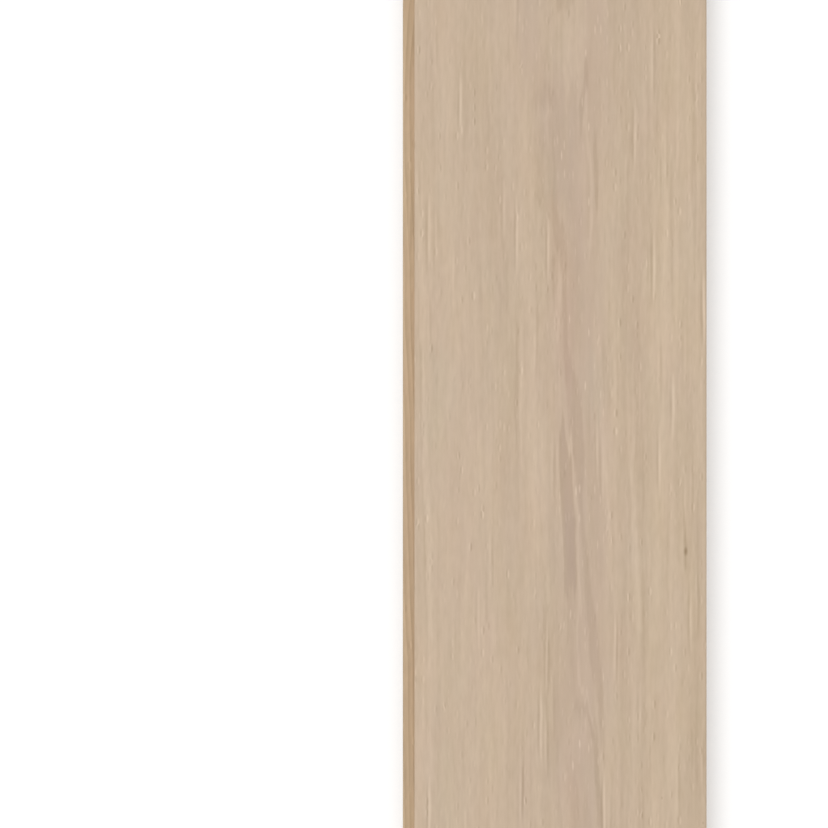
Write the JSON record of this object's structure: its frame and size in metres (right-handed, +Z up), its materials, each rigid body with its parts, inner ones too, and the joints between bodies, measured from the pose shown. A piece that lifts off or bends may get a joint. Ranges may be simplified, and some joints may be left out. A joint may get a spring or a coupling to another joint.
{
  "type": "hardwood floorboard",
  "caption": "Solid oak floorboard with a pale limed face, finely bevelled arrises, tongue and groove on edges and ends, and relief channels under it.",
  "frame": {"origin": "middle of the underside, measured across the showing face without the tongues", "axes": "+X across the width from the edge tongue to the edge groove, +Y along the length from the end tongue to the end groove, +Z up out of the showing face"},
  "size_m": [0.156, 1.206, 0.02],
  "materials": {
    "oak": "matt white oil on the face, bare planed wood elsewhere"
  },
  "bodies": {
    "root": {"floorboard": "oak"}
  },
  "joints": []
}
